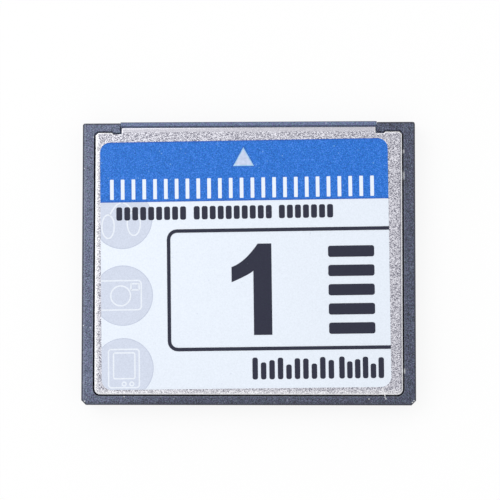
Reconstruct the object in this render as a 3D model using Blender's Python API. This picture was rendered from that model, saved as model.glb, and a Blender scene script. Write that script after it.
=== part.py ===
"""A 50-contact compact flash card, lying flat with its label up.

X runs across the card, Y from its rear rail to the connector and Z up.
The origin is the centre of the card's footprint, on the surface it lies on.
All lengths are in metres.
"""

import math

import bmesh
import bpy
from mathutils import Matrix, Vector

# Outside of the card
CARD_WIDTH = 0.0428
CARD_LENGTH = 0.0364
CARD_THICKNESS = 0.0033

# Moulded frame
SIDE_RAIL = 0.00146
REAR_RAIL = 0.00113
REAR_CORNER_CHAMFER = 0.0006
FRONT_CORNER_RADIUS = 0.0003
RAIL_EDGE_CHAMFER = 0.0001
BLOCK_WIDTH = 0.00484
BLOCK_DEPTH = 0.00102
BLOCK_SETBACK = 0.00013
HOOK_WIDTH = 0.00098
HOOK_DEPTH = 0.0002
LEDGE_WIDTH = 0.0007
SHELF_WIDTH = 0.0005

# Guide grooves that the reader's rails run in, one taller than the other
GUIDE_LENGTH = 0.02578
GUIDE_DEPTH = 0.00057
GUIDE_HEIGHT_LEFT = 0.001
GUIDE_HEIGHT_RIGHT = 0.0016

# Sheet steel covers with folded tabs
SHEET = 0.0002
COVER_RECESS = 0.0001
COVER_GAP = 0.00013
COVER_CORNER_RADIUS = 0.00093
COVER_SHOULDER = 0.00045
COVER_EDGE_RADIUS = 0.00012
FOLD_DEPTH = 0.00038
TAB_DEPTH = 0.0009
TAB_LENGTH = 0.005
TAB_INSET = 0.0075
TAB_WINDOW_LENGTH = 0.0022
TAB_WINDOW_HEIGHT = 0.00022
TAB_COUNT = 3
CATCH_DEPTH = 0.0001

# Clearances
SEAT_GAP = 0.00002
SIDE_GAP = 0.00005
BOARD_GAP = 0.0001

# Socket connector
CONTACTS_PER_ROW = 25
ROW_SPACING = 0.00127
CONNECTOR_DEPTH = 0.0058
LIP_DEPTH = 0.00055
LIP_CHAMFER = 0.00006
SOCKET_SIZE = 0.0007
MOUTH_SIZE = 0.00096
MOUTH_DEPTH = 0.00022

# Forked contacts, blanked from strip
CONTACT_THICKNESS = 0.00028
PRONG_TIP_DEPTH = 0.00045
PRONG_LENGTH = 0.0026
PRONG_WIDTH = 0.00012
PRONG_BUMP_DEPTH = 0.00032
PRONG_BUMP_OPENING = 0.0003
CONTACT_BODY_LENGTH = 0.0022
TAIL_THICKNESS = 0.00012
TAIL_STANDOFF = 0.00018
FOOT_LENGTH = 0.001

# Circuit board
BOARD_THICKNESS = 0.0006
BOARD_HEIGHT = 0.00115
BOARD_TO_CONNECTOR = 0.0004
BOARD_CORNER = 0.0006

# Leaded packages
LEAD_PITCH = 0.0005
LEAD_WIDTH = 0.00022
LEAD_THICKNESS = 0.00013
LEAD_REACH = 0.0008
LEAD_FOOT = 0.0005
PACKAGE_THICKNESS = 0.00098
PACKAGE_STANDOFF = 0.0001
FLASH_WIDTH = 0.012
FLASH_LENGTH = 0.0184
FLASH_LEADS = 24
FLASH_ACROSS = 0.42
CONTROLLER_SIZE = 0.01
CONTROLLER_LEADS = 16
CONTROLLER_ACROSS = -0.44
CONTROLLER_SETBACK = 0.12
PIN_ONE_RADIUS = 0.0005
PIN_ONE_INSET = 0.0015
PIN_ONE_DEPTH = 0.00006
PIN_ONE_SIDES = 12

# Small parts soldered to the board
CHIP_PART_LENGTH = 0.0016
CHIP_PART_WIDTH = 0.0008
CHIP_PART_HEIGHT = 0.0006
CAPACITOR_COUNT = 6
CAPACITOR_SPACING = 0.0021
RESISTOR_COUNT = 5
CRYSTAL_LENGTH = 0.005
CRYSTAL_WIDTH = 0.0032
CRYSTAL_HEIGHT = 0.0008
CRYSTAL_TO_EDGE = 0.0005
PART_SINK = 0.00005

# Label and the print on it
LABEL_SIDE_MARGIN = 0.001285
LABEL_REAR_MARGIN = 0.000855
LABEL_FRONT_MARGIN = 0.001865
LABEL_THICKNESS = 0.00006
LABEL_CORNER_RADIUS = 0.00107
LABEL_SHIFT = -0.00044
LABEL_TURN = 0.71
PRINT_THICKNESS = 0.00002
PRINT_GAP = 0.00001
BAND_LENGTH = 0.00778
ARROW_WIDTH = 0.00273
ARROW_LENGTH = 0.00246
ARROW_TO_EDGE = 0.00087
STRIPE_COUNT = 25
STRIPE_SIDE_MARGIN = 0.002405
STRIPE_WIDTH = 0.00056
STRIPE_LENGTH = 0.0026
STRIPE_TO_BAND_EDGE = 0.0005
RULE_WIDTH = 0.00045
RULE_LEFT = -0.00998
RULE_TOP = 0.00458
RULE_LENGTH = 0.01567
RULE_CORNER_RADIUS = 0.0013

# Facets along a quarter turn, and how far a cutter runs past what it cuts
CORNER_STEPS = 5
OVERRUN = 0.0005

# Heights and edges worked out from the sizes above
COVER_TOP = CARD_THICKNESS - COVER_RECESS
COVER_INSIDE = COVER_TOP - SHEET
BOARD_TOP = BOARD_HEIGHT + BOARD_THICKNESS
CARD_FRONT = CARD_LENGTH / 2
CARD_REAR = -CARD_LENGTH / 2
BLOCK_FRONT = CARD_FRONT - BLOCK_SETBACK
BLOCK_REAR = BLOCK_FRONT - BLOCK_DEPTH
BLOCK_INNER = CARD_WIDTH / 2 - BLOCK_WIDTH
PITCH = 2 * (BLOCK_INNER - SIDE_GAP) / (CONTACTS_PER_ROW + 1)
HOOK_OUTER = BLOCK_INNER + HOOK_WIDTH
HOOK_REAR = BLOCK_REAR - HOOK_DEPTH
LIP_REAR = CARD_FRONT - LIP_DEPTH
CONNECTOR_REAR = CARD_FRONT - CONNECTOR_DEPTH
RECESS_SIDE = CARD_WIDTH / 2 - SIDE_RAIL
RECESS_REAR = CARD_REAR + REAR_RAIL
FOLD_INSET = COVER_GAP + SHEET + SIDE_GAP
LEDGE_SIDE = RECESS_SIDE - FOLD_INSET - LEDGE_WIDTH
LEDGE_REAR = RECESS_REAR + FOLD_INSET + LEDGE_WIDTH
FOLD_FRONT = HOOK_REAR - COVER_GAP - SHEET
BOARD_SIDE = LEDGE_SIDE - BOARD_GAP
BOARD_REAR = LEDGE_REAR + BOARD_GAP
BOARD_FRONT = CONNECTOR_REAR - BOARD_TO_CONNECTOR
FEET_REAR = BOARD_FRONT - FOOT_LENGTH
FLASH_CENTRE = (FLASH_ACROSS * BOARD_SIDE, (BOARD_REAR + FEET_REAR) / 2)
CONTROLLER_REACH = CONTROLLER_SIZE / 2 + LEAD_REACH
CONTROLLER_FRONT = FEET_REAR - CONTROLLER_SETBACK * (FEET_REAR - BOARD_REAR)
CONTROLLER_CENTRE = (CONTROLLER_ACROSS * BOARD_SIDE, CONTROLLER_FRONT - CONTROLLER_REACH)
LABEL_WIDTH = 2 * (RECESS_SIDE - COVER_GAP - LABEL_SIDE_MARGIN)
LABEL_REAR = RECESS_REAR + COVER_GAP + LABEL_REAR_MARGIN
LABEL_FRONT = LIP_REAR - LABEL_FRONT_MARGIN
LABEL_LENGTH = LABEL_FRONT - LABEL_REAR
LABEL_CENTRE = (LABEL_SHIFT, (LABEL_REAR + LABEL_FRONT) / 2)
STRIPE_PITCH = (LABEL_WIDTH - 2 * STRIPE_SIDE_MARGIN - STRIPE_WIDTH) / (STRIPE_COUNT - 1)
LABEL_BASE = COVER_TOP + PRINT_GAP
PRINT_BASE = LABEL_BASE + LABEL_THICKNESS + PRINT_GAP


def clear_scene():
    """Remove every object, so that the file holds the card alone."""
    for existing in list(bpy.data.objects):
        bpy.data.objects.remove(existing, do_unlink=True)


def make_material(name, colour, roughness, metallic=0.0):
    """Return a Principled material of one linear colour."""
    material = bpy.data.materials.new(name)
    material.use_nodes = True
    shader = material.node_tree.nodes["Principled BSDF"]
    shader.inputs["Base Color"].default_value = (*colour, 1.0)
    shader.inputs["Roughness"].default_value = roughness
    shader.inputs["Metallic"].default_value = metallic
    return material


def make_object(name, mesh, material=None):
    """Link a mesh into the scene as a named object."""
    made = bpy.data.objects.new(name, mesh)
    bpy.context.scene.collection.objects.link(made)
    if material is not None:
        made.data.materials.clear()
        made.data.materials.append(material)
    return made


def mirrored(corners):
    """Close a half outline, given from rear to front on +X, with its mirror image."""
    return corners + [(-x, y, radius) for x, y, radius in reversed(corners)]


def inset_corners(corners, inset):
    """Move each edge of a counter-clockwise outline inwards, radii following."""
    moved = []
    count = len(corners)
    for index, (x, y, radius) in enumerate(corners):
        here = Vector((x, y))
        before = (here - Vector(corners[index - 1][:2])).normalized()
        after = (Vector(corners[(index + 1) % count][:2]) - here).normalized()
        turn = before.cross(after)
        bisector = Vector((-before.y - after.y, before.x + after.x))
        shift = bisector * (inset / (1.0 + before.dot(after)))
        new_radius = 0.0
        if radius > 0.0:
            new_radius = radius - math.copysign(inset, turn)
        moved.append((x + shift.x, y + shift.y, new_radius))
    return moved


def round_corners(corners, steps=CORNER_STEPS):
    """Return the outline's points, with an arc at each corner that has a radius."""
    points = []
    count = len(corners)
    for index, (x, y, radius) in enumerate(corners):
        here = Vector((x, y))
        if radius <= 0.0:
            points.append((here.x, here.y))
            continue
        before = (here - Vector(corners[index - 1][:2])).normalized()
        after = (Vector(corners[(index + 1) % count][:2]) - here).normalized()
        turn = before.angle_signed(after)
        trim = radius * math.tan(abs(turn) / 2)
        side = math.copysign(1.0, before.cross(after))
        start = here - before * trim
        centre = start + Vector((-before.y, before.x)) * (radius * side)
        arm = start - centre
        for step in range(steps + 1):
            spun = Matrix.Rotation(side * abs(turn) * step / steps, 2) @ arm
            points.append((centre.x + spun.x, centre.y + spun.y))
    return points


def rectangle(half_width, rear, front, rear_radius=0.0, front_radius=0.0):
    """Return the corners of a rectangle centred on X."""
    return mirrored([(half_width, rear, rear_radius), (half_width, front, front_radius)])


def skin_mesh(name, rings):
    """Join closed rings of equal length into one capped body, first ring to last."""
    shape = bmesh.new()
    loops = [[shape.verts.new(point) for point in ring] for ring in rings]
    size = len(loops[0])
    for lower, upper in zip(loops, loops[1:]):
        for index in range(size):
            following = (index + 1) % size
            shape.faces.new((lower[index], lower[following], upper[following], upper[index]))
    shape.faces.new(list(reversed(loops[0])))
    shape.faces.new(loops[-1])
    bmesh.ops.recalc_face_normals(shape, faces=shape.faces)
    mesh = bpy.data.meshes.new(name)
    shape.to_mesh(mesh)
    shape.free()
    return mesh


def plate_mesh(name, corners, levels):
    """Stack an outline at (height, inset) levels into one body."""
    rings = []
    for height, inset in levels:
        outline = round_corners(inset_corners(corners, inset))
        rings.append([(x, y, height) for x, y in outline])
    return skin_mesh(name, rings)


def strip_mesh(name, profile, half_width):
    """Carry a side profile, given as (y, z) points, across X."""
    rings = [[(x, y, z) for y, z in profile] for x in (-half_width, half_width)]
    return skin_mesh(name, rings)


def block_mesh(name, low, high):
    """Return a box between two opposite corners."""
    corners = [(low[0], low[1]), (high[0], low[1]), (high[0], high[1]), (low[0], high[1])]
    rings = [[(x, y, z) for x, y in corners] for z in (low[2], high[2])]
    return skin_mesh(name, rings)


def joined_mesh(name, meshes):
    """Put several meshes into one, as separate bodies."""
    shape = bmesh.new()
    for mesh in meshes:
        shape.from_mesh(mesh)
        bpy.data.meshes.remove(mesh)
    joined = bpy.data.meshes.new(name)
    shape.to_mesh(joined)
    shape.free()
    return joined


def combine(body, tool_mesh, operation):
    """Run an exact Boolean on an object and keep its result as the object's mesh."""
    tool = make_object("tool", tool_mesh)
    tool.hide_render = True
    tool.display_type = "WIRE"
    step = body.modifiers.new("step", "BOOLEAN")
    step.operation = operation
    step.solver = "EXACT"
    step.object = tool
    bpy.context.view_layer.update()
    evaluated = body.evaluated_get(bpy.context.evaluated_depsgraph_get())
    result = bpy.data.meshes.new_from_object(evaluated)
    body.modifiers.remove(step)
    body.data = result
    bpy.data.objects.remove(tool, do_unlink=True)


def cut(body, tool_mesh):
    """Take a tool's shape away from a body."""
    combine(body, tool_mesh, "DIFFERENCE")


def fuse(body, tool_mesh):
    """Add a tool's shape to a body."""
    combine(body, tool_mesh, "UNION")


def shade_by_angle(body, degrees=35.0):
    """Shade a body smooth, with its sharper edges kept."""
    body.data.shade_smooth()
    body.data.set_sharp_from_angle(angle=math.radians(degrees))


def bay_corners(rear, front):
    """Outline of the opening between the ledges, which narrows between the corner blocks."""
    return mirrored([
        (LEDGE_SIDE, rear, 0.0),
        (LEDGE_SIDE, HOOK_REAR, 0.0),
        (BLOCK_INNER, HOOK_REAR, 0.0),
        (BLOCK_INNER, front, 0.0),
    ])


def recess_corners(front):
    """Outline of the recess that a cover lies in, which follows the corner blocks and hooks."""
    return mirrored([
        (RECESS_SIDE, RECESS_REAR, COVER_CORNER_RADIUS),
        (RECESS_SIDE, BLOCK_REAR - COVER_SHOULDER, 0.0),
        (RECESS_SIDE - COVER_SHOULDER, BLOCK_REAR, 0.0),
        (HOOK_OUTER, BLOCK_REAR, 0.0),
        (HOOK_OUTER - HOOK_DEPTH, HOOK_REAR, 0.0),
        (BLOCK_INNER, HOOK_REAR, 0.0),
        (BLOCK_INNER, front, 0.0),
    ])


def tab_centres(low, high):
    """Spread the tabs evenly, the first and last a set distance from the ends."""
    first = low + TAB_INSET
    last = high - TAB_INSET
    return [first + (last - first) * index / (TAB_COUNT - 1) for index in range(TAB_COUNT)]


def side_tab_centres():
    """Y of each tab along a side of the cover."""
    return tab_centres(RECESS_REAR, FOLD_FRONT)


def rear_tab_centres():
    """X of each tab along the rear of the cover."""
    return tab_centres(-RECESS_SIDE, RECESS_SIDE)


def tab_boxes(half_length, low_depth, high_depth, heights):
    """Boxes that straddle each tab, between two depths inwards from the recess's wall."""
    boxes = []
    low_z, high_z = heights
    for y in side_tab_centres():
        for side in (-1.0, 1.0):
            xs = sorted((side * (RECESS_SIDE - low_depth), side * (RECESS_SIDE - high_depth)))
            low = (xs[0], y - half_length, low_z)
            high = (xs[1], y + half_length, high_z)
            boxes.append(block_mesh("side", low, high))
    for x in rear_tab_centres():
        low = (x - half_length, RECESS_REAR + low_depth, low_z)
        high = (x + half_length, RECESS_REAR + high_depth, high_z)
        boxes.append(block_mesh("rear", low, high))
    return boxes


def catch_heights():
    """Lower and upper height of the catches that hold the top cover's tabs."""
    middle = COVER_TOP - (FOLD_DEPTH + TAB_DEPTH) / 2
    return middle - TAB_WINDOW_HEIGHT / 2, middle + TAB_WINDOW_HEIGHT / 2


def turned_over(mesh):
    """Turn a mesh half a turn about the card's long axis, top to bottom."""
    middle = Vector((0.0, 0.0, CARD_THICKNESS / 2))
    half_turn = Matrix.Rotation(math.pi, 4, "Y")
    mesh.transform(Matrix.Translation(middle) @ half_turn @ Matrix.Translation(-middle))
    return mesh


def build_frame(material):
    """Rails, corner blocks with hooks, cover recesses, tab grooves, board shelf and guides."""
    half_width = CARD_WIDTH / 2
    outside = mirrored([
        (half_width - REAR_CORNER_CHAMFER, CARD_REAR, 0.0),
        (half_width, CARD_REAR + REAR_CORNER_CHAMFER, 0.0),
        (half_width, BLOCK_FRONT, FRONT_CORNER_RADIUS),
    ])
    edge = RAIL_EDGE_CHAMFER
    levels = [(0.0, edge), (edge, 0.0), (CARD_THICKNESS - edge, 0.0), (CARD_THICKNESS, edge)]
    frame = make_object("frame", plate_mesh("frame", outside, levels), material)
    through = [(-OVERRUN, 0.0), (CARD_THICKNESS + OVERRUN, 0.0)]
    past_front = CARD_FRONT + OVERRUN

    shelf_window = rectangle(LEDGE_SIDE - SHELF_WIDTH, LEDGE_REAR + SHELF_WIDTH, CONNECTOR_REAR)
    cut(frame, plate_mesh("shelf_window", shelf_window, through))
    above_shelf = [(BOARD_HEIGHT - SEAT_GAP, 0.0), (CARD_THICKNESS + OVERRUN, 0.0)]
    cut(frame, plate_mesh("board_window", bay_corners(LEDGE_REAR, past_front), above_shelf))
    connector_bay = bay_corners(CONNECTOR_REAR - SIDE_GAP, past_front)
    cut(frame, plate_mesh("connector_bay", connector_bay, through))

    seat = [(COVER_INSIDE - SEAT_GAP, 0.0), (CARD_THICKNESS + OVERRUN, 0.0)]
    groove_floor = COVER_TOP - TAB_DEPTH - SIDE_GAP
    for turned in (False, True):
        recess = plate_mesh("recess", recess_corners(past_front), seat)
        groove = groove_mesh(groove_floor, COVER_INSIDE)
        if turned:
            recess = turned_over(recess)
            groove = turned_over(groove)
        cut(frame, recess)
        cut(frame, groove)

    low_z, high_z = catch_heights()
    catch_wall = FOLD_INSET + SIDE_GAP
    heights = (low_z + SIDE_GAP, high_z - SIDE_GAP)
    half_length = TAB_WINDOW_LENGTH / 2 - SIDE_GAP
    for turned in (False, True):
        catches = tab_boxes(half_length, FOLD_INSET - CATCH_DEPTH, catch_wall, heights)
        joined = joined_mesh("catches", catches)
        fuse(frame, turned_over(joined) if turned else joined)

    guides = []
    for side, height in ((-1.0, GUIDE_HEIGHT_LEFT), (1.0, GUIDE_HEIGHT_RIGHT)):
        floor = side * (half_width - GUIDE_DEPTH)
        outer = side * (half_width + OVERRUN)
        low = (min(floor, outer), CARD_FRONT - GUIDE_LENGTH, CARD_THICKNESS / 2 - height / 2)
        high = (max(floor, outer), past_front, CARD_THICKNESS / 2 + height / 2)
        guides.append(block_mesh("guide", low, high))
    cut(frame, joined_mesh("guides", guides))
    shade_by_angle(frame)
    return frame


def groove_mesh(low_z, high_z):
    """The channel between rail and ledge that a cover's fold and tabs stand in."""
    side, rear, front = RECESS_SIDE, RECESS_REAR, FOLD_FRONT
    width = FOLD_INSET
    outer_radius = COVER_CORNER_RADIUS
    inner_radius = COVER_CORNER_RADIUS - FOLD_INSET
    channel = [
        (-side, front, 0.0),
        (-side, rear, outer_radius),
        (side, rear, outer_radius),
        (side, front, 0.0),
        (side - width, front, 0.0),
        (side - width, rear + width, inner_radius),
        (width - side, rear + width, inner_radius),
        (width - side, front, 0.0),
    ]
    return plate_mesh("groove", channel, [(low_z, 0.0), (high_z, 0.0)])


def cover_shape():
    """Mesh of a cover: a flat sheet with rounded edges and tabs folded down its sides."""
    outline = inset_corners(recess_corners(LIP_REAR), COVER_GAP)
    low = COVER_TOP - TAB_DEPTH
    curve = []
    for step in range(3):
        angle = step * math.pi / 4
        curve.append((COVER_TOP - COVER_EDGE_RADIUS * (1.0 - math.sin(angle)),
                      COVER_EDGE_RADIUS * (1.0 - math.cos(angle))))
    cover = make_object("cover", plate_mesh("cover", outline, [(low, 0.0)] + curve))

    inside = COVER_GAP + SHEET
    beyond = CARD_WIDTH / 2
    hollow = mirrored([
        (RECESS_SIDE - inside, RECESS_REAR + inside, COVER_CORNER_RADIUS - inside),
        (RECESS_SIDE - inside, FOLD_FRONT, 0.0),
        (beyond, FOLD_FRONT, 0.0),
        (beyond, CARD_FRONT, 0.0),
    ])
    below = low - OVERRUN
    cut(cover, plate_mesh("hollow", hollow, [(below, 0.0), (COVER_INSIDE, 0.0)]))

    fold_edge = COVER_TOP - FOLD_DEPTH
    half_tab = TAB_LENGTH / 2
    side_start = RECESS_REAR - OVERRUN
    side_end = FOLD_FRONT + OVERRUN
    side_gaps = gaps_between(side_tab_centres(), half_tab, side_start, side_end)
    near_wall = RECESS_SIDE - inside - SIDE_GAP
    for side in (-1.0, 1.0):
        xs = sorted((side * near_wall, side * beyond))
        notches = [block_mesh("notch", (xs[0], start, below), (xs[1], end, fold_edge))
                   for start, end in side_gaps]
        cut(cover, joined_mesh("notches", notches))
    rear_gaps = gaps_between(rear_tab_centres(), half_tab, -beyond, beyond)
    rear_wall = RECESS_REAR + inside + SIDE_GAP
    notches = [block_mesh("notch", (start, CARD_REAR, below), (end, rear_wall, fold_edge))
               for start, end in rear_gaps]
    cut(cover, joined_mesh("notches", notches))

    windows = tab_boxes(TAB_WINDOW_LENGTH / 2, 0.0, inside + SIDE_GAP, catch_heights())
    cut(cover, joined_mesh("windows", windows))
    shade_by_angle(cover)
    mesh = cover.data
    bpy.data.objects.remove(cover, do_unlink=True)
    return mesh


def gaps_between(centres, half_length, start, end):
    """Stretches from start to end that no tab takes up."""
    edges = [start]
    for centre in centres:
        edges += [centre - half_length, centre + half_length]
    edges.append(end)
    return list(zip(edges[0::2], edges[1::2]))


def build_covers(material):
    """The two covers are one stamping, the lower one turned over."""
    mesh = cover_shape()
    make_object("top_cover", mesh, material)
    bottom = make_object("bottom_cover", mesh.copy(), material)
    bottom.location = (0.0, 0.0, CARD_THICKNESS)
    bottom.rotation_euler = (0.0, math.pi, 0.0)


def socket_places():
    """X and Z of each socket's centre, the upper row first."""
    places = []
    for row in (0.5, -0.5):
        z = CARD_THICKNESS / 2 + row * ROW_SPACING
        for column in range(CONTACTS_PER_ROW):
            places.append(((column - (CONTACTS_PER_ROW - 1) / 2) * PITCH, z))
    return places


def socket_tool(x, z):
    """A square passage with a flared mouth at the front face."""
    flare = (MOUTH_SIZE - SOCKET_SIZE) / 2 / MOUTH_DEPTH
    depths = [
        (CONNECTOR_REAR - OVERRUN, SOCKET_SIZE / 2),
        (CARD_FRONT - MOUTH_DEPTH, SOCKET_SIZE / 2),
        (CARD_FRONT + MOUTH_DEPTH, MOUTH_SIZE / 2 + flare * MOUTH_DEPTH),
    ]
    rings = []
    for y, half in depths:
        square = [(x - half, z - half), (x + half, z - half), (x + half, z + half), (x - half, z + half)]
        rings.append([(across, y, height) for across, height in square])
    return skin_mesh("socket", rings)


def build_connector_housing(material):
    """Insulating block with two rows of sockets, a front lip and ears behind the blocks."""
    low = CARD_THICKNESS - COVER_INSIDE + SEAT_GAP
    high = COVER_INSIDE - SEAT_GAP
    lip_low = COVER_RECESS
    lip_high = COVER_TOP
    edge = LIP_CHAMFER
    profile = [
        (CONNECTOR_REAR, low),
        (LIP_REAR, low),
        (LIP_REAR, lip_low + edge),
        (LIP_REAR + edge, lip_low),
        (CARD_FRONT - edge, lip_low),
        (CARD_FRONT, lip_low + edge),
        (CARD_FRONT, lip_high - edge),
        (CARD_FRONT - edge, lip_high),
        (LIP_REAR + edge, lip_high),
        (LIP_REAR, lip_high - edge),
        (LIP_REAR, high),
        (CONNECTOR_REAR, high),
    ]
    lip = strip_mesh("housing", profile, BLOCK_INNER - SIDE_GAP)
    housing = make_object("connector_housing", lip, material)
    ear_side = LEDGE_SIDE - SIDE_GAP
    ear_low = (-ear_side, CONNECTOR_REAR + SIDE_GAP, low + SEAT_GAP)
    ear_high = (ear_side, HOOK_REAR - SIDE_GAP, high - SEAT_GAP)
    fuse(housing, block_mesh("ears", ear_low, ear_high))
    cut(housing, joined_mesh("sockets", [socket_tool(x, z) for x, z in socket_places()]))
    return housing


def contact_profile(foot_drop):
    """Side outline of a contact, as (y, z) from the socket's centre line.

    foot_drop is how far the underside of the solder foot lies from the centre line
    towards the board, which is down here.
    """
    half_fork = SOCKET_SIZE / 2 - SIDE_GAP
    half_slot = half_fork - PRONG_WIDTH
    half_tail = TAIL_THICKNESS / 2
    tip = CARD_FRONT - PRONG_TIP_DEPTH
    bump = tip - PRONG_BUMP_DEPTH
    crotch = tip - PRONG_LENGTH
    body_rear = crotch - CONTACT_BODY_LENGTH
    bend = CONNECTOR_REAR - TAIL_STANDOFF
    toe = BOARD_FRONT - FOOT_LENGTH
    heel = bend - TAIL_THICKNESS
    foot_top = TAIL_THICKNESS - foot_drop
    upper_fork = [
        (body_rear, half_tail),
        (body_rear, half_fork),
        (tip, half_fork),
        (tip, half_slot),
        (bump, PRONG_BUMP_OPENING / 2),
        (crotch, half_slot),
    ]
    lower_fork = [(y, -z) for y, z in reversed(upper_fork)]
    tail = [
        (bend, -half_tail),
        (heel, -foot_drop),
        (toe, -foot_drop),
        (toe, foot_top),
        (heel - TAIL_THICKNESS / 2, foot_top),
        (bend - TAIL_THICKNESS / 2, half_tail),
    ]
    return upper_fork + lower_fork + tail


def build_contacts(material):
    """Fifty forked contacts, the lower row turned over to reach the board's underside."""
    middle = CARD_THICKNESS / 2
    row_height = ROW_SPACING / 2
    upper_drop = middle + row_height - (BOARD_TOP + SEAT_GAP)
    lower_drop = (BOARD_HEIGHT - SEAT_GAP) - (middle - row_height)
    upper = strip_mesh("contact_upper", contact_profile(upper_drop), CONTACT_THICKNESS / 2)
    lower_profile = [(y, -z) for y, z in contact_profile(lower_drop)]
    lower = strip_mesh("contact_lower", lower_profile, CONTACT_THICKNESS / 2)
    for number, (x, z) in enumerate(socket_places(), start=1):
        mesh = upper if number <= CONTACTS_PER_ROW else lower
        contact = make_object(f"contact_{number:02d}", mesh, material)
        contact.location = (x, 0.0, z)


def lead_profile(edge, foot, middle):
    """Gull-wing lead as (y, z) points, from inside the package out to its toe."""
    half = LEAD_THICKNESS / 2
    root = edge - LEAD_FOOT / 2
    toe = edge + LEAD_REACH
    knee = toe - LEAD_FOOT
    return [
        (root, middle - half),
        (edge + half, middle - half),
        (knee, foot),
        (toe, foot),
        (toe, foot + LEAD_THICKNESS),
        (knee + half, foot + LEAD_THICKNESS),
        (edge + LEAD_THICKNESS, middle + half),
        (root, middle + half),
    ]


def lead_row(count, edge, foot, middle, turn):
    """A row of leads along one side of a package, turned about its centre."""
    leads = []
    for index in range(count):
        x = (index - (count - 1) / 2) * LEAD_PITCH
        lead = strip_mesh("lead", lead_profile(edge, foot, middle), LEAD_WIDTH / 2)
        lead.transform(Matrix.Rotation(turn, 4, "Z") @ Matrix.Translation((x, 0.0, 0.0)))
        leads.append(lead)
    return leads


def build_package(name, material, half_width, half_length, leads_per_side, turns, centre):
    """A leaded chip standing on the board, with a moulded dimple by its first lead."""
    foot = BOARD_TOP + SEAT_GAP
    base = foot + PACKAGE_STANDOFF
    middle = base + PACKAGE_THICKNESS / 2
    top = base + PACKAGE_THICKNESS
    outline = rectangle(half_width, -half_length, half_length)
    chip = make_object(name, plate_mesh("package", outline, [(base, 0.0), (top, 0.0)]), material)
    leads = []
    for turn in turns:
        leads += lead_row(leads_per_side, half_length, foot, middle, turn)
    fuse(chip, joined_mesh("leads", leads))

    place = Vector((half_width, half_length)) - Vector((PIN_ONE_INSET, PIN_ONE_INSET))
    circle = []
    for step in range(PIN_ONE_SIDES):
        arm = Matrix.Rotation(step * 2 * math.pi / PIN_ONE_SIDES, 2) @ Vector((PIN_ONE_RADIUS, 0.0))
        circle.append(place + arm)
    rings = [[(point.x, point.y, z) for point in circle] for z in (top - PIN_ONE_DEPTH, top + OVERRUN)]
    cut(chip, skin_mesh("dimple", rings))
    chip.location = (centre[0], centre[1], 0.0)
    return chip


def build_chips(material):
    """The memory chip with leads on its short sides and the controller with leads all round."""
    half_turns = (0.0, math.pi)
    quarter_turns = (0.0, math.pi / 2, math.pi, 3 * math.pi / 2)
    half_width = FLASH_WIDTH / 2
    half_length = FLASH_LENGTH / 2
    build_package("flash_chip", material, half_width, half_length, FLASH_LEADS, half_turns, FLASH_CENTRE)
    half = CONTROLLER_SIZE / 2
    centre = CONTROLLER_CENTRE
    build_package("controller_chip", material, half, half, CONTROLLER_LEADS, quarter_turns, centre)


def small_part(x, y, length, width, height, upper):
    """A soldered part's box, sunk a little way into the face that carries it."""
    low_z = BOARD_TOP - PART_SINK if upper else BOARD_HEIGHT - height
    high_z = BOARD_TOP + height if upper else BOARD_HEIGHT + PART_SINK
    low = (x - length / 2, y - width / 2, low_z)
    high = (x + length / 2, y + width / 2, high_z)
    return block_mesh("part", low, high)


def build_board(material):
    """Circuit board with its capacitors, crystal and resistors."""
    corner = BOARD_CORNER
    outline = mirrored([
        (BOARD_SIDE - corner, BOARD_REAR, 0.0),
        (BOARD_SIDE, BOARD_REAR + corner, 0.0),
        (BOARD_SIDE, BOARD_FRONT, 0.0),
    ])
    levels = [(BOARD_HEIGHT, 0.0), (BOARD_TOP, 0.0)]
    board = make_object("circuit_board", plate_mesh("board", outline, levels), material)

    chip_x, chip_y = CONTROLLER_CENTRE
    row_y = chip_y - CONTROLLER_REACH - CHIP_PART_LENGTH
    parts = []
    for index in range(CAPACITOR_COUNT):
        x = chip_x + (index - (CAPACITOR_COUNT - 1) / 2) * CAPACITOR_SPACING
        parts.append(small_part(x, row_y, CHIP_PART_WIDTH, CHIP_PART_LENGTH, CHIP_PART_HEIGHT, True))
        y = chip_y + (index - (CAPACITOR_COUNT - 1) / 2) * CAPACITOR_SPACING
        column_x = chip_x - CONTROLLER_REACH - CHIP_PART_LENGTH
        parts.append(small_part(column_x, y, CHIP_PART_LENGTH, CHIP_PART_WIDTH, CHIP_PART_HEIGHT, True))
    crystal_y = BOARD_REAR + CRYSTAL_TO_EDGE + CRYSTAL_WIDTH / 2
    parts.append(small_part(chip_x, crystal_y, CRYSTAL_LENGTH, CRYSTAL_WIDTH, CRYSTAL_HEIGHT, True))
    for index in range(RESISTOR_COUNT):
        x = (index - (RESISTOR_COUNT - 1) / 2) * CAPACITOR_SPACING
        parts.append(small_part(x, 0.0, CHIP_PART_WIDTH, CHIP_PART_LENGTH, CHIP_PART_HEIGHT, False))
    fuse(board, joined_mesh("parts", parts))
    return board


def place_on_label(printed):
    """Give a label layer the slight turn and offset that it was stuck on with."""
    printed.location = (LABEL_CENTRE[0], LABEL_CENTRE[1], 0.0)
    printed.rotation_euler = (0.0, 0.0, math.radians(LABEL_TURN))


def build_label(material):
    """The label sheet, stuck on the top cover a little askew."""
    radius = LABEL_CORNER_RADIUS
    corners = rectangle(LABEL_WIDTH / 2, -LABEL_LENGTH / 2, LABEL_LENGTH / 2, radius, radius)
    levels = [(LABEL_BASE, 0.0), (LABEL_BASE + LABEL_THICKNESS, 0.0)]
    label = make_object("label", plate_mesh("label", corners, levels), material)
    place_on_label(label)
    return label


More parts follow.
